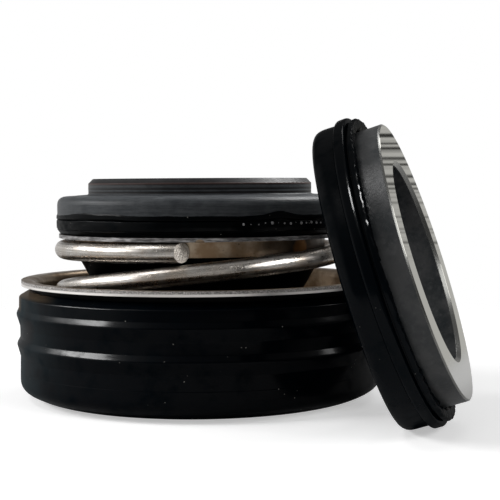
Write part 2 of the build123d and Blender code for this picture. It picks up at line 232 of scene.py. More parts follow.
# %% Finishes
class Finish(Tree):
    """A node material with one Principled shader."""

    def __init__(self, name, **constants):
        self.material = bpy.data.materials.new(name)
        self.material.use_nodes = True
        super().__init__(self.material.node_tree)
        self.shader = self.tree.nodes["Principled BSDF"]
        for key, value in constants.items():
            self.shader.inputs[key.replace("_", " ")].default_value = value
        self.place = self.node("ShaderNodeTexCoord").output("Object")

    def set(self, **signals):
        for key, value in signals.items():
            self.feed(self.shader.inputs[key.replace("_", " ")], value)

    def stretched(self, x, y, z):
        """The object's place, for a pattern that is so many times as long each way."""
        values = (self.place, (0, 0, 0), (0, 0, 0), (x, y, z))
        return self.node("ShaderNodeMapping", {"vector_type": "TEXTURE"}, values)

    def lumps(self, size, detail=2.0, rough=0.5, place=None):
        """Noise from 0 to 1, with lumps about that many millimetres wide."""
        values = {
            "Vector": place or self.place,
            "Scale": 1 / (size * MM),
            "Detail": detail,
            "Roughness": rough,
        }
        return self.node("ShaderNodeTexNoise", {}, values)

    def cells(self, size):
        """Distance to the nearest of scattered points, in cell sizes."""
        values = {"Vector": self.place, "Scale": 1 / (size * MM)}
        return self.node("ShaderNodeTexVoronoi", {}, values)

    def specks(self, size, fade, patch, allowed):
        """Round specks at scattered points, only where broad patches allow them."""
        return self.ramp(self.cells(size), *fade) * self.ramp(self.lumps(patch), *allowed)

    def mix(self, share, first, second):
        """Mix of two colours."""
        values = {0: share, 6: first, 7: second}
        return self.node("ShaderNodeMix", {"data_type": "RGBA"}, values)

    def bump(self, height, strength=1.0):
        values = {"Strength": strength, "Distance": MM, "Height": height}
        return self.node("ShaderNodeBump", {}, values)


# %% [markdown]
# ## Black rubber
# Moulded nitrile rubber is nearly black, with a satin body and a thin, tighter sheen where the
# mould was polished. Bloom greys it in patches, and lint sticks to it as tiny pale specks. At its
# left the jacket is rougher with less sheen, and its colour is greyed there in patches: a painted
# sheen, for the light from that side. A brown patch at its top edge and a brown line lower down at
# its left are painted reflections of the cup's brown rim. One plain black would do from afar. Up
# close the eye tells rubber from paint by such patches, so all three rubbers share one function
# that makes them.

# %% Rubber
lint_grey = (0.35, 0.34, 0.31)
# Painted sheen grey, for the light from the jacket's left.
painted_sheen_grey = (0.0110, 0.0180, 0.0215)
# Painted reflection of the cup's brown rim.
rim_reflection_brown = (0.055, 0.040, 0.026)


def rubber(name, colour, bloom, satin, sheen, dust, left_painted_light=0.0, body=0.01):
    """Black rubber: satin is its roughness, and body how much it reflects under its sheen."""
    finish = Finish(name, Coat_Roughness=0.15, Specular_IOR_Level=body)
    broad = finish.lumps(5.0, 3.0)
    fine = finish.lumps(0.30, 3.0, 0.6)
    lint = finish.specks(0.9, fade=(0.10, 0.04), patch=3.0, allowed=(0.54, 0.62)) * dust
    smear = finish.ramp(finish.lumps(2.4, 4.0, 0.65), 0.45, 0.75)
    x, _, z = finish.parts(finish.place)
    # Painted sheen: a grey patch at the left, for the light from that side; the rubber is also rougher
    # there, with less coat.
    left_sheen = finish.ramp(x, -13 * MM, -21 * MM) * finish.ramp(broad, 0.35, 0.55) * left_painted_light
    base = finish.mix(smear * 0.6, colour, bloom)
    base = finish.mix(left_sheen * 0.8, base, painted_sheen_grey)
    if left_painted_light:
        # Painted reflections of the cup's brown rim: a patch at the top edge and a line lower down at the
        # left.
        top_rim_reflection = finish.ramp(x, -15.0 * MM, -18.0 * MM) * finish.ramp(z, 12.0 * MM, 12.4 * MM)
        side_rim_reflection = finish.ramp(x, -20.2 * MM, -20.9 * MM) * finish.ramp(z, 10.4 * MM, 10.9 * MM)
        base = finish.mix((top_rim_reflection + side_rim_reflection).between(0.0, 1.0) * 0.9, base, rim_reflection_brown)
    finish.set(Base_Color=finish.mix(lint, base, lint_grey))
    finish.set(Roughness=satin + (broad - 0.5) * 0.12 + (fine - 0.5) * 0.10 + left_sheen * 0.08)
    finish.set(Coat_Weight=sheen - smear * 0.08 - left_sheen * 0.06)
    finish.set(Normal=finish.bump(fine * 0.006 + broad * 0.04 + lint * 0.04, 0.6))
    return finish.material


jacket_rubber = rubber(
    "jacket_rubber",
    colour=(0.0001, 0.0008, 0.0019),
    bloom=(0.0006, 0.0026, 0.0042),
    satin=0.42,
    sheen=0.10,
    dust=0.8,
    left_painted_light=1.0,
)
bellows_rubber = rubber(
    "bellows_rubber",
    colour=(0.0004, 0.0008, 0.0012),
    bloom=(0.0026, 0.0040, 0.0050),
    satin=0.44,
    sheen=0.10,
    dust=0.9,
)
seat_rubber = rubber(
    "seat_rubber",
    colour=(0.0008, 0.0026, 0.0046),
    bloom=(0.0030, 0.0062, 0.0084),
    satin=0.36,
    sheen=0.15,
    dust=0.4,
    body=0.0,
)
print("rubber finishes:", jacket_rubber.name, bellows_rubber.name, seat_rubber.name)

# %% [markdown]
# ## Turned carbon
# Carbon graphite is a dry, dark grey with small pores. Noise on the object's own coordinates
# would make it look cast. So the main pattern hangs on radius and height only, because the tool
# left it: each tool mark runs right round the ring. On the nose the marks' grooves are darkened:
# painted shade, for the dark lines that they show. One thin, rusty line goes round there as well.

# %% Carbon
carbon_dark = (0.020, 0.023, 0.026)
carbon_pale = (0.054, 0.058, 0.062)
# Painted shade for the grooves of the tool marks on the nose.
groove_painted_shade = (0.006, 0.005, 0.005)
rusty_line = (0.060, 0.028, 0.022)
pore_black = (0.010, 0.010, 0.011)


def turned_carbon():
    finish = Finish("turned_carbon", Specular_IOR_Level=0.15)
    x, y, z = finish.parts(finish.place)
    rings = finish.joined(radius_of(x, y), 0.0, z)
    coarse = finish.lumps(0.34, 2.0, 0.6, rings)
    fine = finish.lumps(0.10, 3.0, 0.7, rings)
    broken = finish.lumps(0.22, 3.0, 0.7, finish.joined(x * 0.12, y * 0.12, z))
    mottle = finish.lumps(1.5, 4.0, 0.65)
    pores = finish.specks(0.30, fade=(0.16, 0.06), patch=1.2, allowed=(0.45, 0.7))
    nose = finish.ramp(z, (face_z - 1.9) * MM, (face_z - 1.7) * MM)
    tone = finish.ramp(coarse * 0.4 + mottle * 0.3 + broken * 0.3, 0.36, 0.62)
    base = finish.mix(tone, carbon_dark, carbon_pale)
    # Painted shade: the grooves of the tool marks on the nose are darkened.
    lines = finish.ramp(fine * 0.5 + coarse * 0.5, 0.56, 0.44) * nose
    base = finish.mix(lines * 0.9, base, groove_painted_shade)
    rust_foot = finish.ramp(z, (face_z - 0.74) * MM, (face_z - 0.62) * MM)
    rust_top = finish.ramp(z, (face_z - 0.46) * MM, (face_z - 0.56) * MM)
    base = finish.mix(rust_foot * rust_top * 0.6, base, rusty_line)
    finish.set(Base_Color=finish.mix(pores * 0.5, base, pore_black))
    finish.set(Roughness=0.44 + (mottle - 0.5) * 0.20 + pores * 0.2)
    finish.set(Normal=finish.bump(coarse * 0.040 + fine * 0.018 - pores * 0.015, 0.9))
    return finish.material


carbon = turned_carbon()
print("finish:", carbon.name)

# %% [markdown]
# ## Drawn wire
# The die leaves long, fine streaks on spring wire, and handling leaves brown stains and small
# pits. The streaks have to follow the wire round the coil. So the coil's own tree writes a place
# on it, with x along the wire and y and z across it, and this finish reads that instead of the
# object's place.

# %% Wire
steel_dark = (0.32, 0.30, 0.275)
steel_bright = (0.60, 0.575, 0.545)
tea_stain = (0.34, 0.275, 0.21)
pit_brown = (0.11, 0.095, 0.08)


def drawn_wire():
    finish = Finish("drawn_wire", Metallic=1.0)
    on_wire = finish.node("ShaderNodeAttribute", {"attribute_name": "wire_place"})
    along, across, up = finish.parts(on_wire.output("Vector"))
    streaks = finish.lumps(0.16, 3.0, 0.6, finish.joined(along * 0.02, across, up))
    blotches = finish.ramp(finish.lumps(1.3, 4.0, 0.7), 0.42, 0.68)
    stains = finish.ramp(finish.lumps(4.0, 3.0, 0.6), 0.40, 0.70)
    pits = finish.specks(0.26, fade=(0.30, 0.12), patch=0.9, allowed=(0.42, 0.62))
    steel = finish.mix(finish.ramp(streaks, 0.3, 0.7), steel_dark, steel_bright)
    steel = finish.mix(stains * 0.6, steel, tea_stain)
    finish.set(Base_Color=finish.mix(pits * 0.55 + blotches * 0.15, steel, pit_brown))
    finish.set(Roughness=0.22 + streaks * 0.10 + blotches * 0.10 + pits * 0.15)
    finish.set(Normal=finish.bump(streaks * 0.020 - pits * 0.020 + blotches * 0.008, 0.7))
    return finish.material


wire_steel = drawn_wire()
print("finish:", wire_steel.name)

# %% [markdown]
# The wire's end was sheared off. A shear doesn't leave a smooth face: most of it is a bright,
# granular break. Scattered cells look like its crystals, in the colour and in the bump alike.


# %% Sheared end
def sheared_steel():
    finish = Finish("sheared_steel", Metallic=0.25)
    crystals = finish.cells(0.16)
    torn = finish.lumps(0.35, 3.0, 0.7)
    finish.set(Base_Color=finish.mix(crystals, (0.92, 0.87, 0.80), (0.52, 0.46, 0.40)))
    finish.set(Roughness=0.50 + torn * 0.2)
    finish.set(Normal=finish.bump(crystals * 0.10 + torn * 0.10))
    return finish.material


wire_end_steel = sheared_steel()
print("finish:", wire_end_steel.name)

# %% [markdown]
# ## Pressed sheet
# Forming oil left a warm brown film on the sheet, with darker spots in it. Two of the three
# pieces have more to show, and each has a helper of its own.
#
# The follower is darkened at its right: painted shadow of the seat, and painted dark reflection.
# It has one spot of fresh rust there, and its flange is worn to grey metal. The cup's rim shows
# how the sheet was sheared: a bright burnished band below, and a rougher, speckled break above.
# Just under the rim, the cup's wall is black and not metal: painted shade in the recess there.
# Masks of radius and height say where each of these lies.

# %% Marks on the sheet
# Painted shadow colour for the follower's right side.
painted_shadow_brown = (0.020, 0.014, 0.010)
fresh_rust = (0.42, 0.20, 0.07)
rust_spot = (11.8 * MM, -9.2 * MM, 17.7 * MM)
flange_grey = (0.34, 0.33, 0.325)
flange_dark = (0.10, 0.095, 0.095)
flange_spot = (0.06, 0.055, 0.05)
burnished = (0.78, 0.75, 0.72)
break_dark = (0.16, 0.15, 0.145)
break_bright = (0.50, 0.475, 0.455)
# Painted shade colour for the recess under the cup's rim.
recess_shade_black = (0.004, 0.004, 0.004)


def follower_marks(finish, base, film, spots):
    """Painted shadow at the right, a spot of rust and the worn flange, over the base colour."""
    x, y, _ = finish.parts(finish.place)
    # Painted shadow: the right side is darkened, for the seat's shadow and the dark that it reflects.
    right_painted_shadow = finish.ramp(x, 5.8 * MM, 8.0 * MM) * finish.ramp(y, 0.0, -2.0 * MM)
    base = finish.mix(right_painted_shadow * 0.85, base, painted_shadow_brown)
    from_rust = finish.vectors("DISTANCE", finish.place, rust_spot).output("Value")
    rust = finish.ramp(from_rust + (film - 0.5) * 0.5 * MM, 1.5 * MM, 0.8 * MM)
    base = finish.mix(rust, base, fresh_rust)
    flange = finish.ramp(radius_of(x, y), (flange_r - 0.35) * MM, (flange_r - 0.15) * MM)
    rubbed = finish.ramp(finish.lumps(0.25, 4.0, 0.7, finish.stretched(6, 6, 1)), 0.36, 0.60)
    worn = finish.mix(spots, finish.mix(rubbed, flange_grey, flange_dark), flange_spot)
    return finish.mix(flange, base, worn)


def cup_marks(finish, base, rough, height):
    """The sheared rim and the painted shade under it; the last value is how metallic the cup is."""
    x, y, z = finish.parts(finish.place)
    radius = radius_of(x, y)
    cut = finish.ramp(radius, (rim_r - 0.14) * MM, (rim_r - 0.04) * MM)
    upper = finish.ramp(z, (rim_z - 0.36) * MM, (rim_z - 0.28) * MM)
    speckle = finish.ramp(finish.lumps(0.16, 4.0, 0.8), 0.40, 0.62)
    broken = finish.mix(speckle, break_dark, break_bright)
    base = finish.mix(cut, base, finish.mix(upper, burnished, broken))
    rough = rough + cut * (upper * 0.20 - 0.04)
    height = height + cut * upper * speckle * 0.05
    # Painted shade: under the rim the wall is black and not metal, for the shade in the recess.
    below = finish.ramp(z, (rim_z - 0.58) * MM, (rim_z - 0.61) * MM)
    recess_shade = below * finish.ramp(radius, (rim_r - 1.50) * MM, (rim_r - 1.40) * MM)
    return finish.mix(recess_shade, base, recess_shade_black), rough + recess_shade * 0.3, height, 1.0 - recess_shade


# %% [markdown]
# The sheet itself is the same for all three. The steel was stretched as it was pressed, so its
# faint lines run up the wall.


# %% Sheet steel
def sheet_steel(name, film_colour, metal_colour, is_follower=False, is_cup=False):
    finish = Finish(name, Specular_IOR_Level=0.05)
    film = finish.ramp(finish.lumps(3.0, 4.0, 0.6), 0.35, 0.65)
    drawn = finish.lumps(0.40, 3.0, 0.7, finish.stretched(1, 1, 7))
    spots = finish.specks(0.5, fade=(0.3, 0.1), patch=2.0, allowed=(0.45, 0.7))
    base = finish.mix(film, metal_colour, film_colour)
    base = finish.mix(spots * 0.6, base, tuple(c * 0.3 for c in film_colour))
    rough = 0.34 + film * 0.12 + spots * 0.15
    height = drawn * 0.012 + film * 0.015 - spots * 0.01
    metal = 1.0
    if is_follower:
        base = follower_marks(finish, base, film, spots)
    if is_cup:
        base, rough, height, metal = cup_marks(finish, base, rough, height)
    finish.set(Base_Color=base, Roughness=rough, Metallic=metal, Normal=finish.bump(height, 0.8))
    return finish.material


cup_steel = sheet_steel("cup_steel", (0.16, 0.105, 0.060), (0.30, 0.23, 0.16), is_cup=True)
follower_steel = sheet_steel(
    "follower_steel", (0.24, 0.16, 0.095), (0.40, 0.32, 0.235), is_follower=True
)
clamp_steel = sheet_steel("clamp_steel", (0.30, 0.25, 0.20), (0.48, 0.44, 0.40))
print("finishes:", cup_steel.name, follower_steel.name, clamp_steel.name)

# %% [markdown]
# ## Sintered ring with a lapped face
# The seat's hard ring is sintered silicon carbide, which reflects far more than glass does. Its
# sides keep the mottled skin of the pressing, with a few scuffs. Its running face is lapped flat
# to a fraction of a micron, so that it mirrors the room. The two bevels beside the face are
# ground, and shine more softly. What is face, bevel or side follows from how far it lies along
# the seat's axis, and how far out from it.

# %% Seat ring
skin_dark = (0.006, 0.009, 0.011)
skin_pale = (0.036, 0.037, 0.038)
scuff_grey = (0.085, 0.087, 0.088)
lapped_grey = (0.34, 0.335, 0.305)
ground_grey = (0.20, 0.20, 0.19)


def seat_ring_zones(finish):
    """How much of the lapped face, and of the ground bevels, there is at each point."""
    from_face = finish.vectors("SUBTRACT", finish.place, seat_centre)
    depth = finish.vectors("DOT_PRODUCT", from_face, seat_axis).output("Value")
    squared = finish.vectors("DOT_PRODUCT", from_face, from_face).output("Value")
    out = (squared - depth * depth).between(0.0, 1.0).root()
    bore = finish.ramp(depth, -0.42 * MM, -0.36 * MM) * finish.ramp(out, 11.1 * MM, 10.9 * MM)
    edge = finish.ramp(depth, -0.20 * MM, -0.15 * MM) * finish.ramp(out, 14.0 * MM, 14.2 * MM)
    mirror = finish.ramp(depth, -0.04 * MM, -0.01 * MM)
    return mirror, (bore + edge).between(0.0, 1.0) * (1.0 - mirror)


def seat_ring_finish():
    finish = Finish("lapped_carbide", Specular_IOR_Level=0.5)
    mirror, bevels = seat_ring_zones(finish)
    face = mirror + bevels
    side = 1.0 - face
    cloud = finish.lumps(3.2, 5.0, 0.62)
    grit = finish.lumps(0.28, 3.0, 0.7)
    scuffs = finish.lumps(0.9, 5.0, 0.75)
    haze = finish.lumps(5.0, 3.0)
    skin = finish.mix(finish.ramp(cloud, 0.38, 0.62), skin_dark, skin_pale)
    skin = finish.mix(finish.ramp(scuffs, 0.50, 0.70) * 0.35, skin, scuff_grey)
    polished = finish.mix(bevels, lapped_grey, ground_grey)
    finish.set(Base_Color=finish.mix(face, skin, polished), Metallic=face)
    side_rough = side * (0.38 + (grit - 0.5) * 0.20)
    finish.set(Roughness=side_rough + mirror * (0.02 + haze * 0.015) + bevels * 0.26)
    relief = grit * 0.02 + cloud * 0.05 + scuffs * 0.02
    finish.set(Normal=finish.bump(side * relief, 0.7))
    return finish.material


carbide = seat_ring_finish()
print("finish:", carbide.name)

# %% [markdown]
# ## Outlines
# Nearly every piece was turned, pressed or moulded round an axis, so each begins as a closed
# outline of radius and height. A drawing gives such an outline as corners with a rounding each.
# The first helper turns corners into points, with more of them than the shape needs, so that
# later steps have something to bend. The second copies the points round the axis. A Screw
# modifier could do that too, but then no point could know its azimuth and sway by it.

# %% From corners to a ring
bend_steps = 8
most_of_a_side = 0.49


def outline_points(corners, spacing):
    """Points along a closed outline of (radius, height, rounding) corners, in millimetres."""
    spots = [Vector((r, z)) for r, z, _ in corners]
    bends = []
    for i, spot in enumerate(spots):
        to_last = spots[i - 1] - spot
        to_next = spots[(i + 1) % len(spots)] - spot
        rounding = corners[i][2]
        if rounding <= 0:
            bends.append(spot)
            continue
        reach = rounding / math.tan(to_last.angle(to_next) / 2)
        reach = min(reach, most_of_a_side * to_last.length, most_of_a_side * to_next.length)
        start = spot + to_last.normalized() * reach
        end = spot + to_next.normalized() * reach
        for k in range(bend_steps + 1):
            t = k / bend_steps
            bends.append(start * (1 - t) ** 2 + spot * (2 * t * (1 - t)) + end * t**2)
    points = []
    for i, point in enumerate(bends):
        after = bends[(i + 1) % len(bends)]
        parts = max(1, math.ceil((after - point).length / spacing))
        points += [point.lerp(after, k / parts) for k in range(parts)]
    return points


def ring_mesh(name, points, around, moved=None):
    """Closed ring in metres. moved(angle, r, z) gives each point's new radius and height."""
    verts = []
    for i in range(around):
        angle = 2 * math.pi * i / around
        for r, z in points:
            if moved:
                r, z = moved(angle, r, z)
            verts.append((r * math.cos(angle) * MM, r * math.sin(angle) * MM, z * MM))
    count = len(points)
    faces = []
    for i in range(around):
        here = i * count
        there = (i + 1) % around * count
        for k in range(count):
            m = (k + 1) % count
            faces.append((here + k, there + k, there + m, here + m))
    mesh = bpy.data.meshes.new(name)
    mesh.from_pydata(verts, [], faces)
    turned_out(mesh)
    return mesh


def turned_out(mesh, sharp_degrees=35):
    """Faces outwards, and smooth shading up to the sharp edges."""
    shape = bmesh.new()
    shape.from_mesh(mesh)
    bmesh.ops.recalc_face_normals(shape, faces=shape.faces)
    shape.to_mesh(mesh)
    shape.free()
    mesh.shade_smooth()
    mesh.set_sharp_from_angle(angle=math.radians(sharp_degrees))


# %% [markdown]
# A finished mesh becomes a piece in one place. It gets its material and the body that it rides
# on, and takes the place of the plain CAD solid that it stands for.


# %% From a mesh to a piece
def placed(name, mesh, material, body, slot, *nodes):
    """A finished piece in the scene, in place of CAD nodes if any are named."""
    thing = bpy.data.objects.new(name, mesh)
    bpy.context.scene.collection.objects.link(thing)
    if material:
        mesh.materials.clear()
        mesh.materials.append(material)
    if nodes:
        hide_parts(*nodes)
    if body:
        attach(thing, body)
    triangles = sum(len(face.vertices) - 2 for face in mesh.polygons)
    print(name, "has", triangles, "triangles")
    return thing


# %% [markdown]
# Nothing moulded or trimmed is perfectly round. Three small functions bend a ring out of true: a
# ripple goes right round it, a hump stands at one place, and a share fades either of them out.


# %% Out of true
def ripple(angle, size, seed):
    """Smooth noise round a ring, from about -1 to 1; a larger size gives more ripples."""
    return noise.noise(Vector((math.cos(angle) * size, math.sin(angle) * size, seed)))


def hump(angle, degrees, width):
    """1 at that azimuth, falling to 0 about that many degrees away."""
    away = (math.degrees(angle) - degrees + 180) % 360 - 180
    return math.exp(-2.0 * (away / width) ** 2)


def share_of(value):
    """The value, held between 0 and 1."""
    return min(1.0, max(0.0, value))


# %% [markdown]
# ## Rubber jacket
# The base is a steel cup with rubber moulded over its outside. Two sawtooth ribs grip the bore
# that it is pressed into, and the land under them carries a fine line where the mould parted.
# Rubber shrinks unevenly as it cools, so the ribs and the land sway by a few hundredths. That
# is little, but without it the highlights along the ribs would be ruled lines.

# %% Jacket
wall_r = rib_r - 1.88
shoulder_r = rib_r - 0.30
groove_r = rib_r - 0.40
land_r = rib_r - 0.40
upper_crest_z = jacket_top_z - 2.65
lower_crest_z = upper_crest_z - 3.5
parting_z = 3.55
neck_hole_r = 12.35
floor_top_z = 1.6
neck_lip_z = 2.15

jacket_corners = [
    (shaft_hole_r, 0.0, 0.1),
    (land_r - 2.72, 0.0, 6.4),
    (land_r, 1.31, 2.2),
    (land_r, parting_z - 0.08, 0.02),
    (land_r - 0.015, parting_z, 0.0),
    (land_r - 0.01, parting_z + 0.08, 0.02),
    (land_r - 0.02, lower_crest_z - 1.45, 0.45),
    (rib_r, lower_crest_z, 0.5),
    (groove_r, lower_crest_z + 0.7, 0.22),
    (groove_r, upper_crest_z - 1.45, 0.45),
    (rib_r, upper_crest_z, 0.5),
    (shoulder_r, upper_crest_z + 0.7, 0.22),
    (shoulder_r, jacket_top_z - 0.7, 0.22),
    (wall_r + 0.4, jacket_top_z, 0.1),
    (wall_r, jacket_top_z, 0.0),
    (wall_r, floor_top_z, 2.0),
    (neck_hole_r, floor_top_z, 0.0),
    (neck_hole_r, neck_lip_z, 0.0),
    (shaft_hole_r, neck_lip_z, 0.1),
]


def jacket_sway(angle, r, z):
    """Outer skin sways a little; the surfaces against the cup stay true."""
    outer = share_of((r - wall_r - 0.15) / 0.6)
    sway = 0.05 * ripple(angle, 1.4, z * 0.25) + 0.018 * ripple(angle, 6.0, z * 0.5 + 7)
    return r + outer * sway, z + outer * 0.03 * ripple(angle, 2.5, z * 0.2 + 3)


jacket_points = outline_points(jacket_corners, spacing=0.45)
jacket_mesh = ring_mesh("jacket", jacket_points, around=420, moved=jacket_sway)
jacket = placed("jacket", jacket_mesh, jacket_rubber, "housing", "jacket_rubber", "housing_jacket")

# %% [markdown]
# ## Bellows
# One piece of softer rubber holds the carbon ring in its collar, narrows to a cone inside the
# coil, and ends in a foot that the clamp ring presses down. The mould closed at the collar's top
# edge. A thin flash stands there against the carbon, and it waves up and down, with one larger
# flap at the front. Cloth simulation isn't needed: moulded rubber has one shape at rest, and a
# drawn outline gives it exactly.

# %% Bellows
collar_r = ring_r + 0.04
collar_foot_z = 19.38
collar_floor_z = 19.03
ridge_foot_z = 19.92
ridge_z = 19.97
ridge_top_z = 20.06
pocket_floor_z = 20.13
belly_z = 20.60
line_z = 21.12
ledge_z = 21.30
flash_z = 21.68
tail_bore_r = 11.2
throat_r = 11.6
tail_r = 12.3
foot_z = 2.2
foot_top_z = 3.6
neck_r = 14.42
neck_bore_r = neck_r - 1.1
cone_top_z = 16.4
cone_foot_z = 12.6
clamp_r = 17.2
pocket_r = 15.45
held_r = ring_r + 0.003

bellows_corners = [
    (tail_bore_r, foot_z, 0.0),
    (clamp_r, foot_z, 0.1),
    (clamp_r, foot_top_z, 0.1),
    (tail_r, foot_top_z, 0.2),
    (tail_r, cone_foot_z, 0.8),
    (neck_r, cone_top_z, 0.8),
    (neck_r, collar_foot_z, 0.1),
    (collar_r - 0.42, collar_foot_z, 0.2),
    (collar_r - 0.06, ridge_foot_z, 0.15),
    (collar_r - 0.10, ridge_z, 0.0),
    (collar_r, ridge_top_z, 0.15),
    (collar_r + 0.06, belly_z, 1.5),
    (collar_r, line_z - 0.12, 0.1),
    (collar_r - 0.14, line_z - 0.03, 0.0),
    (collar_r + 0.04, line_z + 0.10, 0.1),
    (collar_r + 0.02, flash_z - 0.14, 0.3),
    (collar_r - 0.03, flash_z, 0.02),
    (held_r, flash_z - 0.02, 0.0),
    (held_r, ledge_z, 0.0),
    (pocket_r, ledge_z, 0.0),
    (pocket_r, pocket_floor_z, 0.0),
    (throat_r, pocket_floor_z, 0.1),
    (throat_r, collar_floor_z, 0.3),
    (neck_bore_r, collar_floor_z, 0.3),
    (neck_bore_r, cone_top_z, 0.8),
    (tail_bore_r, cone_foot_z, 0.8),
]
print("bellows outline with", len(bellows_corners), "corners")

# %% [markdown]
# The flash rises and falls by humps at chosen azimuths, over a finer ripple. The collar's skin is
# a little uneven too, most of all at its left, where the rubber was torn off the mould.

# %% Flash
waving_z = 20.7
flap_degrees = -57
torn_degrees = -150


def flash_sway(angle, r, z):
    """The collar's top edge waves, and its skin is a little uneven."""
    if r < pocket_r + 0.5 or z < collar_foot_z + 0.2:
        return r, z
    lift = 0.24 * hump(angle, -137, 16) + 0.12 * hump(angle, -122, 9) - 0.14 * hump(angle, -165, 14)
    flap = 0.46 * hump(angle, flap_degrees, 8.5) + 0.06 * ripple(angle, 9, 1)
    lift += flap + 0.03 * ripple(angle, 30, 2)
    share = share_of((z - waving_z) / (flash_z - waving_z))
    torn = hump(angle, torn_degrees, 20)
    skin = (0.03 + 0.05 * torn) * ripple(angle, 8, z * 1.2)
    skin += (0.015 + 0.04 * torn) * ripple(angle, 40, z * 3)
    outside = share_of((r - ring_r + 0.3) / 0.3)
    near_flash = share_of((z - ledge_z - 0.05) * 20) if r < ring_r + 0.01 else 1.0
    curl = 0.10 * hump(angle, flap_degrees, 9) * share**3 if r > ring_r + 0.005 else 0.0
    return r + skin * outside * (1 - share) + curl, z + lift * share * near_flash * outside


bellows_points = outline_points(bellows_corners, spacing=0.45)
bellows_mesh = ring_mesh("bellows_rubber", bellows_points, around=340, moved=flash_sway)
bellows = placed("bellows_collar", bellows_mesh, bellows_rubber, "", "bellows_rubber", "bellows")
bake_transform(bellows, "housing", "face_unit", start=(0, 0, 4.2 * MM), end=(0, 0, 17.1 * MM))

# %% [markdown]
# ## Trees that make shapes
# Tool marks, crumbs and a coil follow rules, so Geometry Nodes make them. One class starts such a
# tree with a named input for each size, and ends it the same way each time. A tree is run once,
# and what it made is kept as a plain mesh.


# %% Shape trees
class Shape(Tree):
    """A Geometry Nodes tree with named inputs for its sizes."""

    def __init__(self, name, **sizes):
        super().__init__(bpy.data.node_groups.new(name, "GeometryNodeTree"))
        interface = self.tree.interface
        interface.new_socket("Geometry", in_out="INPUT", socket_type="NodeSocketGeometry")
        interface.new_socket("Geometry", in_out="OUTPUT", socket_type="NodeSocketGeometry")
        self.sizes = {}
        for key, value in sizes.items():
            kind = "NodeSocketInt" if isinstance(value, int) else "NodeSocketFloat"
            title = key.replace("_", " ")
            socket = interface.new_socket(title, in_out="INPUT", socket_type=kind)
            self.sizes[socket.identifier] = value
        entry = self.tree.nodes.new("NodeGroupInput")
        self.inputs = {out.name: Signal(self, out) for out in entry.outputs if out.name}
        self.exit = self.tree.nodes.new("NodeGroupOutput")

    def dotted_line(self, count):
        """A line of that many points, to be bent."""
        line = self.node("GeometryNodeCurvePrimitiveLine", {}, {"End": (0, 0, 1)})
        return self.node("GeometryNodeResampleCurve", {}, {"Curve": line, "Count": count})

    def moved(self, geometry, **values):
        """The geometry at a new Position, or moved by an Offset."""
        return self.node("GeometryNodeSetPosition", {}, {"Geometry": geometry, **values})

    def stored(self, geometry, name, value, kind="FLOAT"):
        """The geometry with a named value kept on each of its points."""
        settings = {"data_type": kind, "domain": "POINT"}
        values = {"Geometry": geometry, "Name": name, "Value": value}
        return self.node("GeometryNodeStoreNamedAttribute", settings, values)

    def recalled(self, name, kind="FLOAT"):
        """A value that was stored earlier."""
        return self.node("GeometryNodeInputNamedAttribute", {"data_type": kind}, {"Name": name})

    def finish(self, geometry, material, selection=None, other=None):
        """Ends the tree: instances become real, and the surface gets its material."""
        real = self.node("GeometryNodeRealizeInstances", {}, (geometry,))
        done = self.node("GeometryNodeSetMaterial", {}, {"Geometry": real, "Material": material})
        if selection:
            values = {"Geometry": done, "Selection": selection, "Material": other}
            done = self.node("GeometryNodeSetMaterial", {}, values)
        self.feed(self.exit.inputs["Geometry"], done)

    def applied(self, name, mesh):
        """The tree run once on a mesh; the result is a plain mesh."""
        holder = bpy.data.objects.new(name + "_holder", mesh)
        bpy.context.scene.collection.objects.link(holder)
        modifier = holder.modifiers.new(name, "NODES")
        modifier.node_group = self.tree
        for identifier, value in self.sizes.items():
            modifier[identifier] = value
        seen = holder.evaluated_get(bpy.context.evaluated_depsgraph_get())
        result = bpy.data.meshes.new_from_object(seen)
        result.name = name
        holder.modifiers.remove(modifier)
        bpy.data.objects.remove(holder)
        return result


# %% [markdown]
# ## Carbon ring
# The ring is turned all over. Its tool marks are real grooves a few hundredths deep. A bump
# could draw them on its faces, but not on its outline, where the nose shows them best. So the
# tree moves each point of the plain ring by a noise that depends on its radius and height alone.


# %% A tree that cuts tool marks
def tool_mark_tree():
    shape = Shape("tool_marks", Mark_Spacing=0.42 * MM, Mark_Depth=0.05 * MM)
    x, y, z = shape.parts(shape.node("GeometryNodeInputPosition"))
    rings = shape.joined(radius_of(x, y), 0.0, z)
    values = {"Vector": rings, "Scale": 1.0 / shape.inputs["Mark Spacing"], "Detail": 1.0}
    marks = shape.node("ShaderNodeTexNoise", {}, values)
    depth = (marks - 0.5) * shape.inputs["Mark Depth"]
    offset = shape.scaled(shape.node("GeometryNodeInputNormal"), depth)
    shape.finish(shape.moved(shape.inputs["Geometry"], Offset=offset), carbon)
    return shape


# %% [markdown]
# The plain ring has a spigot down in the collar, a body with a rounded shoulder, and the narrow
# nose whose top is the running face.

# %% Carbon ring
spigot_r = 15.4
spigot_z = 20.18
body_r = ring_r - 0.03
body_foot_z = ledge_z + 0.04
ring_top_z = face_z - 1.85
nose_r = shaft_hole_r + 2.3

carbon_corners = [
    (shaft_hole_r, spigot_z, 0.0),
    (spigot_r, spigot_z, 0.0),
    (spigot_r, body_foot_z, 0.0),
    (body_r, body_foot_z, 0.0),
    (body_r, ring_top_z - 0.25, 1.1),
    (nose_r + 0.12, ring_top_z, 0.0),
    (nose_r, ring_top_z + 0.10, 0.0),
    (nose_r, face_z - 0.55, 0.05),
    (nose_r - 0.55, face_z, 0.05),
    (shaft_hole_r + 0.3, face_z, 0.05),
    (shaft_hole_r, face_z - 0.3, 0.05),
]
carbon_points = outline_points(carbon_corners, spacing=0.13)
plain_ring = ring_mesh("plain_ring", carbon_points, around=300)
carbon_mesh = tool_mark_tree().applied("carbon_ring", plain_ring)
turned_out(carbon_mesh)
carbon_ring = placed("carbon_ring", carbon_mesh, None, "face_unit", "carbon", "seal_face_ring")

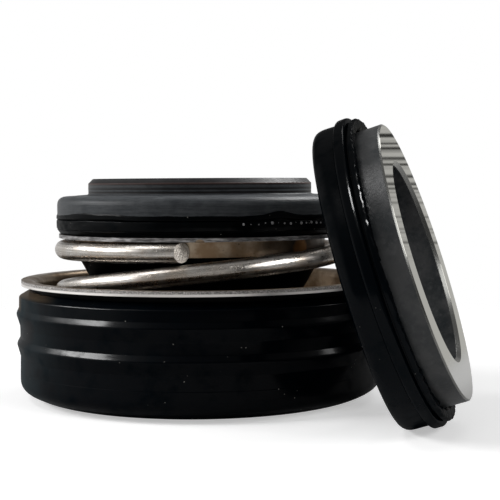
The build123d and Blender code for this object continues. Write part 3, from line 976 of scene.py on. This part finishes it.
# %% [markdown]
# ## Crumbs of flash
# Where the mould's vents were, a row of small rubber crumbs stays on the collar. Their colour is
# a pale grey: a painted highlight, for the light that their small curves catch.


# %% Crumb finish
def crumb_finish():
    finish = Finish("bloomed_rubber", Specular_IOR_Level=0.3)
    grain = finish.lumps(0.25, 3.0, 0.7)
    # Painted highlight: the crumbs are pale grey, for the light that catches them.
    finish.set(Base_Color=finish.mix(grain, (0.16, 0.16, 0.165), (0.42, 0.42, 0.43)))
    finish.set(Roughness=0.4 + grain * 0.2, Normal=finish.bump(grain * 0.03))
    return finish.material


bloomed_rubber = crumb_finish()
print("finish:", bloomed_rubber.name)

# %% [markdown]
# A tree bends a line into an arc round the collar, and sets a small ball on each of its points.
# Sizes and places vary a little, by a fixed seed, so each run gives the same row.


# %% A tree that sets crumbs
def crumb_tree():
    shape = Shape(
        "flash_crumbs",
        Arc_Radius=(collar_r + 0.02) * MM,
        Arc_Height=20.80 * MM,
        First_Angle=math.radians(-72),
        Arc_Angle=math.radians(36),
        Crumb_Radius=0.15 * MM,
        Stray=0.09 * MM,
        Crumbs=14,
        Seed=7,
    )
    size = shape.inputs
    line = shape.dotted_line(size["Crumbs"])
    along = shape.node("GeometryNodeSplineParameter").output("Factor")
    angle = size["First Angle"] + along * size["Arc Angle"]
    arc_r = size["Arc Radius"]
    spot = shape.joined(angle.cosine() * arc_r, angle.sine() * arc_r, size["Arc Height"])
    values = {0: (-1, -1, -1), 1: (1, 1, 1), "Seed": size["Seed"]}
    stray = shape.node("FunctionNodeRandomValue", {"data_type": "FLOAT_VECTOR"}, values)
    line = shape.moved(line, Position=spot, Offset=shape.scaled(stray, size["Stray"]))
    values = {"Radius": size["Crumb Radius"], "Subdivisions": 2}
    ball = shape.node("GeometryNodeMeshIcoSphere", {}, values)
    values = {2: 0.5, 3: 1.25, "Seed": size["Seed"]}
    grown = shape.node("FunctionNodeRandomValue", {"data_type": "FLOAT"}, values)
    values = {"Points": line, "Instance": ball, "Scale": grown}
    shape.finish(shape.node("GeometryNodeInstanceOnPoints", {}, values), bloomed_rubber)
    return shape


crumb_mesh = crumb_tree().applied("flash_crumbs", bpy.data.meshes.new("no_crumbs"))
turned_out(crumb_mesh, sharp_degrees=60)
placed("flash_crumbs", crumb_mesh, None, "face_unit", "bellows_rubber")

# %% [markdown]
# ## Coil spring
# The coil follows a rule: closed turns at both ends, full pitch between, and a ramp from one to
# the other. A Screw modifier or a plain helix has one pitch throughout, and would leave both ends
# standing off. The follower and the cup's floor say where the coil's ends lie, and what is left
# between them gives the number of turns.

# %% Coil rule
closed_drift = 1.0
top_closed_turns = 0.72
ramp_turns = 0.3
bottom_closed_turns = 0.75
open_pitch = 11.0
start_degrees = -95.0
slant_degrees = 31
follower_foot_z = 18.9
end_gap = 0.07
cup_floor_z = 4.15
coil_top_z = follower_foot_z - end_gap - wire_r
coil_foot_z = cup_floor_z + wire_r
closed_part = top_closed_turns + 2 * ramp_turns + bottom_closed_turns
fall_left = coil_top_z - coil_foot_z - closed_drift * closed_part - open_pitch * ramp_turns
open_turns = fall_left / (open_pitch + closed_drift)
turns = closed_part + open_turns
print("coil of", round(turns, 3), "turns, of which", round(open_turns, 3), "at full pitch")

# %% [markdown]
# A tree winds it in three steps. First a straight line is bent by the rule, and each of its
# points keeps the share of the ring's travel that it follows, for the moving joint.


# %% The coil's path
def coil_path(shape):
    size = shape.inputs
    closed, ramp, opened = size["Top Closed Turns"], size["Ramp Turns"], size["Open Turns"]
    line = shape.dotted_line(size["Slices"])
    done = shape.node("GeometryNodeSplineParameter").output("Factor") * size["Turns"]
    ramp_in = (done - closed).between(0.0, ramp)
    open_part = (done - closed - ramp).between(0.0, opened)
    ramp_out = (done - closed - ramp - opened).between(0.0, ramp)
    ramps = (ramp_in * ramp_in - ramp_out * ramp_out) / (ramp * 2.0) + ramp_out
    steep = open_part + ramps
    fall = size["Closed Drift"] * done + size["Open Pitch"] * steep
    angle = size["Start Angle"] - done * (2 * math.pi)
    coil_radius = size["Coil Radius"]
    height = size["Top Height"] - fall
    spot = shape.joined(angle.cosine() * coil_radius, angle.sine() * coil_radius, height)
    path = shape.stored(line, "follow", 1.0 - steep / (opened + ramp))
    path = shape.moved(path, Position=spot)
    along = shape.node("GeometryNodeSplineParameter").output("Length")
    path = shape.stored(path, "along", along)
    return shape.node("GeometryNodeSetCurveNormal", {"mode": "Z_UP"}, {"Curve": path})


# %% [markdown]
# Next a circle is swept along the path, and each point keeps its place on the wire, for the
# finish. Last, the top end is slanted, as the shear left it.


# %% The wire and its end
def swept_wire(shape, path, along):
    values = {"Resolution": shape.inputs["Sides"], "Radius": shape.inputs["Wire Radius"]}
    profile = shape.node("GeometryNodeCurvePrimitiveCircle", {}, values)
    position = shape.node("GeometryNodeInputPosition")
    profile = shape.stored(profile, "across", position, "FLOAT_VECTOR")
    values = {"Curve": path, "Profile Curve": profile, "Fill Caps": True}
    wire = shape.node("GeometryNodeCurveToMesh", {}, values)
    across_x, across_y, _ = shape.parts(shape.recalled("across", "FLOAT_VECTOR"))
    on_wire = shape.joined(along, across_x, across_y)
    return shape.stored(wire, "wire_place", on_wire, "FLOAT_VECTOR")


def slanted_end(shape, wire, along):
    x, y, _ = shape.parts(shape.node("GeometryNodeInputPosition"))
    radius = radius_of(x, y)
    near_end = (1.0 - along / shape.inputs["Slant Length"]).between(0.0, 1.0)
    shift = (radius - shape.inputs["Coil Radius"]) * shape.inputs["End Slant"] * near_end
    offset = shape.joined(y / radius * shift, -(x / radius * shift), 0.0)
    return shape.moved(wire, Offset=offset)


# %% [markdown]
# The whole tree has an input for each size of the coil. The wire's flat ends are the only faces
# with more than four corners, which is how they get the finish of the break.


# %% A tree that winds the coil
def coil_tree():
    shape = Shape(
        "wound_coil",
        Coil_Radius=coil_r * MM,
        Wire_Radius=wire_r * MM,
        Top_Height=coil_top_z * MM,
        Turns=turns,
        Top_Closed_Turns=top_closed_turns,
        Ramp_Turns=ramp_turns,
        Open_Turns=open_turns,
        Closed_Drift=closed_drift * MM,
        Open_Pitch=open_pitch * MM,
        Start_Angle=math.radians(start_degrees),
        End_Slant=math.tan(math.radians(slant_degrees)),
        Slant_Length=2.6 * MM,
        Slices=340,
        Sides=40,
    )
    along = shape.recalled("along")
    wire = slanted_end(shape, swept_wire(shape, coil_path(shape), along), along)
    corners = shape.node("GeometryNodeInputMeshFaceNeighbors").output("Vertex Count")
    settings = {"data_type": "INT", "operation": "GREATER_THAN"}
    is_cap = shape.node("FunctionNodeCompare", settings, {2: corners, 3: 4})
    shape.finish(wire, wire_steel, is_cap, wire_end_steel)
    return shape


coil_mesh = coil_tree().applied("coil", bpy.data.meshes.new("empty"))
turned_out(coil_mesh, sharp_degrees=50)
coil = placed("coil", coil_mesh, None, "", "spring_wire", "spring")

# %% [markdown]
# Each slice of a real wire moves as one. So after the blend, each point gets the share that the
# tree worked out for its slice.

# %% Coil that shortens
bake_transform(coil, "housing", "face_unit", start=(0, 0, coil_foot_z * MM), end=(0, 0, coil_top_z * MM))
follow = np.zeros(len(coil_mesh.vertices), np.float32)
coil_mesh.attributes["follow"].data.foreach_get("value", follow)
coil_mesh.attributes["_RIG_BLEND"].data.foreach_set("value", follow)
for name in ("follow", "along", "across"):
    coil_mesh.attributes.remove(coil_mesh.attributes[name])
lowest, highest = round(float(follow.min()), 3), round(float(follow.max()), 3)
print("shares of the travel, from", lowest, "to", highest)

# %% [markdown]
# ## Seat cup
# The seat's rubber cup is drawn upright and then leaned. It has a broad rounded band at the back,
# a fine line, a rib and a narrow groove, and its lip stands a little off the hard ring.

# %% Seat cup
seat_r = 14.76
web_hole_r = 11.86
band_r = seat_r + 1.29
seat_rib_r = seat_r + 1.74
seat_groove_r = seat_r + 1.1
seat_lip_r = seat_r + 1.36
lip_z = -2.30
lip_foot_z = -2.86
band_start_z = -4.45
seat_floor_z = -5.99
seat_back_z = -7.39

seat_cup_corners = [
    (web_hole_r, seat_back_z, 0.1),
    (band_r, seat_back_z, 1.64),
    (band_r, -4.52, 0.05),
    (band_r - 0.12, band_start_z, 0.0),
    (band_r, -4.36, 0.05),
    (seat_rib_r, -4.20, 0.5),
    (seat_rib_r, -3.20, 0.3),
    (seat_groove_r, -3.00, 0.0),
    (seat_groove_r, lip_foot_z, 0.0),
    (seat_lip_r, lip_foot_z, 0.1),
    (seat_lip_r, lip_z, 0.25),
    (seat_r + 0.34, lip_z - 0.02, 0.1),
    (seat_r + 0.06, -2.62, 0.0),
    (seat_r, -5.83, 0.0),
    (seat_r - 0.16, seat_floor_z, 0.0),
    (web_hole_r, seat_floor_z, 0.1),
]
print("seat cup outline with", len(seat_cup_corners), "corners")

# %% [markdown]
# The band at the back isn't quite square to the rib: its plane leans by three degrees, so it is
# wider on one side. The band's own axis gives the lean, as a slope along each side of the seat.

# %% The lean of the rear band
band_tilt = math.radians(17.09)
band_yaw = math.radians(10.45)
band_axis = Vector((
    math.cos(band_tilt) * math.cos(band_yaw),
    -math.cos(band_tilt) * math.sin(band_yaw),
    math.sin(band_tilt),
))
band_lean = Vector((band_axis.dot(seat_side), band_axis.dot(seat_up))) / band_axis.dot(seat_axis)
print("rear band leans by", round(math.degrees(math.atan(band_lean.length)), 2), "degrees")

# %% [markdown]
# The front lip was trimmed by hand, so the edge is torn: it rises and falls, flares where the
# knife slipped, and leaves a dark gap round the ring. It could be sculpted, but noise of three
# sizes gives the same ragged line and can be tuned later.

# %% Band and torn lip
lip_root_z = -2.9
behind_web_z = -6.6


def seat_cup_sway(angle, r, z):
    """The band's lean, an uneven skin, and a torn front lip."""
    outside = share_of((r - seat_r - 0.05) / 0.3)
    skin = 0.04 * ripple(angle, 2.2, z * 0.3) + 0.012 * ripple(angle, 20, z)
    lip = share_of((z - lip_root_z) / 0.55)
    rag = 0.10 * ripple(angle, 26, 4) + 0.06 * ripple(angle, 70, 5) + 0.10 * ripple(angle, 5, 6)
    flare = 0.10 * max(0.0, ripple(angle, 4, 9)) + 0.10 * ripple(angle, 18, 8)
    lean = band_lean.x * math.cos(angle) + band_lean.y * math.sin(angle)
    in_band = 1.0 if z < behind_web_z or (z < band_start_z and outside > 0) else 0.0
    moved_r = r + outside * (skin + lip * flare + in_band * lean * (z - lip_z))
    return moved_r, z + lip * outside * rag - in_band * lean * r


seat_cup_points = outline_points(seat_cup_corners, spacing=0.30)
seat_cup_mesh = ring_mesh("seat_rubber_cup", seat_cup_points, around=480, moved=seat_cup_sway)
seat_cup_mesh.transform(seat_place)
seat_rubber_cup = placed(
    "seat_rubber_cup", seat_cup_mesh, seat_rubber, "housing", "seat_rubber", "seat_cup"
)

# %% [markdown]
# ## Solids that stay
# The pressed cup, the follower, the clamp ring and the seat's hard ring already have the right
# shape. They only get their finish.

# %% Finishes on the solids
finish_of = {
    "spring_cup": cup_steel,
    "spring_follower": follower_steel,
    "tail_clamp_ring": clamp_steel,
    "seat_ring": carbide,
}
for name, material in finish_of.items():
    for place in frame["nodes"][name].material_slots:
        place.material = material
    print(name, "gets", material.name)

# %% [markdown]
# ## Studio
# The camera stands a little above the rim and looks slightly down, through a long lens, which
# keeps the rings' ellipses flat. Its focal length is written as a share of the image's width.

# %% Camera
focal_over_width = 1269.4 / 500
down_angle = 0.0520
roll_angle = 0.0056

lens = bpy.data.cameras.new("camera")
lens.sensor_width = 36.0
lens.lens = focal_over_width * lens.sensor_width
lens.clip_start = 0.005
lens.clip_end = 20.0
camera = bpy.data.objects.new("camera", lens)
camera.location = (5.94 * MM, -152.33 * MM, 25.10 * MM)
look = Matrix.Rotation(math.pi / 2 - down_angle, 4, "X") @ Matrix.Rotation(-roll_angle, 4, "Z")
camera.rotation_euler = look.to_euler()
bpy.context.scene.collection.objects.link(camera)
bpy.context.scene.camera = camera
print("lens of", round(lens.lens, 1), "mm")

# %% [markdown]
# The floor is a pale disc that keeps the shadow and fades out into a white room. It glows a
# little to the camera alone, so that it looks as white as the room without lighting the object.

# %% Floor
floor_r = 0.13
fade_start_r = 0.075
fade_end_r = 0.125
floor_sink = 0.00001


def floor_finish():
    finish = Finish("floor_paper", Roughness=0.9, Specular_IOR_Level=0.0, Emission_Strength=1.0)
    x, y, _ = finish.parts(finish.place)
    ray = finish.node("ShaderNodeLightPath")
    seen = ray.output("Is Camera Ray")
    mirrored = ray.output("Is Glossy Ray")
    lit = finish.mix(finish.lumps(0.8, 2.0), (0.78, 0.78, 0.78), (0.80, 0.80, 0.80))
    watched = (seen + mirrored).between(0.0, 1.0)
    finish.set(Base_Color=finish.mix(watched, (0.45, 0.45, 0.45), lit))
    finish.set(Emission_Color=finish.mix(seen, (0.0, 0.0, 0.0), (0.45, 0.45, 0.45)))
    edge = finish.ramp(radius_of(x, y), fade_start_r, fade_end_r)
    clear = finish.node("ShaderNodeBsdfTransparent")
    body = Signal(finish, finish.shader.outputs[0])
    blend = finish.node("ShaderNodeMixShader", {}, (edge, body, clear))
    finish.feed(finish.tree.nodes["Material Output"].inputs["Surface"], blend)
    return finish.material


floor_mesh = bpy.data.meshes.new("floor")
disc = bmesh.new()
bmesh.ops.create_circle(disc, cap_ends=True, segments=96, radius=floor_r)
disc.to_mesh(floor_mesh)
disc.free()
floor_mesh.materials.append(floor_finish())
floor = bpy.data.objects.new("floor", floor_mesh)
floor.location = (0.005, 0, -floor_sink)
bpy.context.scene.collection.objects.link(floor)
print("floor of", floor_r, "m radius")

# %% [markdown]
# The room is white to the camera. To shiny surfaces it has brighter walls at the left, at the
# back near the floor, and overhead. The side that the lens looks away from is dim, which keeps
# the front of the rubber black.


# %% Room
def white_room():
    world = bpy.data.worlds.new("room")
    world.use_nodes = True
    room = Tree(world.node_tree)
    x, y, z = room.parts(room.node("ShaderNodeTexCoord").output("Generated"))
    seen = room.node("ShaderNodeLightPath")
    camera_ray = seen.output("Is Camera Ray")
    mirrored = (seen.output("Is Glossy Ray") + seen.output("Is Transmission Ray")).between(0.0, 1.0)
    left = room.ramp(-x, 0.45, 0.95) * 0.80
    far_low = room.ramp(y, 0.55, 0.95) * room.ramp(-z, -0.35, -0.10) * 0.60
    walls = 0.14 + left + far_low + room.ramp(z, 0.3, 0.9) * 0.20
    unseen = mirrored * walls + (1.0 - mirrored) * 0.20
    background = world.node_tree.nodes["Background"]
    background.inputs["Color"].default_value = (1, 1, 1, 1)
    room.feed(background.inputs["Strength"], camera_ray + (1.0 - camera_ray) * unseen)
    bpy.context.scene.world = world
    return world


print("world:", white_room().name)

# %% [markdown]
# The lamps are softboxes at half a metre, each given by the angles at which the object sees it.
# Black rubber and bright steel don't want the same light. In a studio, small flags would hang
# between them. Here a lamp can reach only some pieces, or leave some out, by light linking. A
# mirrored one is seen in reflections and lights nothing, like a strip of card beside a bottle.

# %% Lamps
lamp_distance = 0.5
lamp_target = Vector((0.004, 0, 0.012))


def softbox(name, azimuth, elevation, wide, tall, radiance, only=(), never=(), mirrored=False):
    """Softbox at an azimuth from the lens's side; angles in degrees as seen from the object."""
    a, e = math.radians(azimuth), math.radians(elevation)
    away = Vector((math.sin(a) * math.cos(e), -math.cos(a) * math.cos(e), math.sin(e)))
    light = bpy.data.lights.new(name, "AREA")
    light.shape = "RECTANGLE"
    light.size = 2 * lamp_distance * math.tan(math.radians(wide / 2))
    light.size_y = 2 * lamp_distance * math.tan(math.radians(tall / 2))
    light.energy = radiance * math.pi * light.size * light.size_y
    lamp = bpy.data.objects.new(name, light)
    lamp.location = away * lamp_distance + lamp_target
    lamp.rotation_euler = away.to_track_quat("Z", "Y").to_euler()
    lamp.visible_camera = False
    lamp.visible_diffuse = not mirrored
    if only or never:
        chosen = bpy.data.collections.new(name + "_chosen")
        for thing in (*only, *never):
            chosen.objects.link(thing)
        for entry in chosen.collection_objects:
            entry.light_linking.link_state = "INCLUDE" if only else "EXCLUDE"
        lamp.light_linking.receiver_collection = chosen
    bpy.context.scene.collection.objects.link(lamp)
    sides = [round(light.size, 3), round(light.size_y, 3)]
    print(name, "has sides of", sides, "m and", round(light.energy, 2), "W")


rubber_pieces = (jacket, bellows, seat_rubber_cup)
softbox("left_softbox", -87, 27, 40, 12, 16.0, never=[seat_rubber_cup])
softbox("top_left_softbox", -70, 59, 16, 12, 8.0, never=[seat_rubber_cup])
softbox("back_softbox", 150, 46, 20, 10, 5.0)
softbox("right_fill", 55, 34, 40, 24, 3.4, never=rubber_pieces)
softbox("right_softbox", 76, 34, 60, 26, 16.0, only=[coil])
softbox("right_back_softbox", 124, 47, 44, 20, 14.0, only=[carbon_ring, bellows])
softbox("right_strip", 100, 30, 16, 8, 16.0, only=[jacket], mirrored=True)
softbox("rib_strip", -84, 33, 38, 12, 72.0, only=[jacket], mirrored=True)
softbox("seat_strip", 16, 62, 44, 14, 110.0, only=[seat_rubber_cup], mirrored=True)
softbox("front_card", 0, 5, 60, 40, 0.32, never=(*rubber_pieces, carbon_ring), mirrored=True)

# %% [markdown]
# The lapped face mirrors a narrow part of what stands behind the object. There a window with a
# blind would be: light bands with dark, uneven gaps. A card stands in for it, seen in reflections
# only. Its gaps run aslant on the card, so that they lie level in the leaning face. Each has its
# height, half its width and how dark it is, and fine slats close up towards the top.

# %% Blind
blind_roll = math.radians(36)
gap_blur = 0.35
gaps_in_blind = [
    (18.4, 0.6, 0.6),
    (24.5, 0.5, 0.4),
    (30.0, 0.5, 0.5),
    (36.5, 0.5, 0.5),
    (42.9, 0.5, 0.8),
    (44.9, 0.5, 0.9),
    (48.4, 0.6, 0.9),
    (53.9, 0.6, 0.9),
    (56.7, 0.7, 0.9),
    (61.3, 0.6, 1.0),
    (63.5, 0.5, 0.9),
    (67.2, 0.9, 1.0),
]


def blind_finish():
    finish = Finish("blind", Emission_Strength=1.0, Specular_IOR_Level=0.0)
    x, _, z = finish.parts(finish.place)
    light = 1.0
    across = z * math.cos(blind_roll) - x * math.sin(blind_roll)
    for height, half, depth in gaps_in_blind:
        off = abs(across - height * MM)
        gap = finish.ramp(off, (half + gap_blur) * MM, (half - gap_blur) * MM)
        light = light * (1.0 - depth * gap)
    slats = finish.lumps(1.6, 2.0, 0.6, finish.joined(0.0, 0.0, across))
    fine = finish.ramp(across, 7 * MM, 18 * MM) * finish.ramp(slats, 0.52, 0.36) * 0.45
    light = light * (1.0 - fine)
    finish.set(Base_Color=(0.0, 0.0, 0.0))
    finish.set(Emission_Color=finish.mix(light, (0.03, 0.03, 0.028), (0.56, 0.555, 0.525)))
    return finish.material


# %% [markdown]
# The card stands far behind the object, turned towards the leaning face. It is no part of the
# object, throws no shadow, and the camera doesn't see it.

# %% The blind's card
blind_mesh = bpy.data.meshes.new("blind")
half_wide, foot, head = 130 * MM, -60 * MM, 110 * MM
card = [(-half_wide, 0, foot), (half_wide, 0, foot), (half_wide, 0, head), (-half_wide, 0, head)]
blind_mesh.from_pydata(card, [], [(0, 1, 2, 3)])
blind_mesh.materials.append(blind_finish())
blind = bpy.data.objects.new("blind", blind_mesh)
blind.location = (0.171, 0.404, 0)
blind.rotation_euler = (0, 0, math.radians(-20))
blind.visible_camera = False
blind.visible_diffuse = False
blind.visible_shadow = False
bpy.context.scene.collection.objects.link(blind)
print("blind with", len(gaps_in_blind), "gaps")

# %% [markdown]
# Colours are shown as they are. A film look would lift the blacks and dull the steel.

# %% Look of the render
bpy.context.scene.view_settings.view_transform = "Standard"
print("view transform:", bpy.context.scene.view_settings.view_transform)
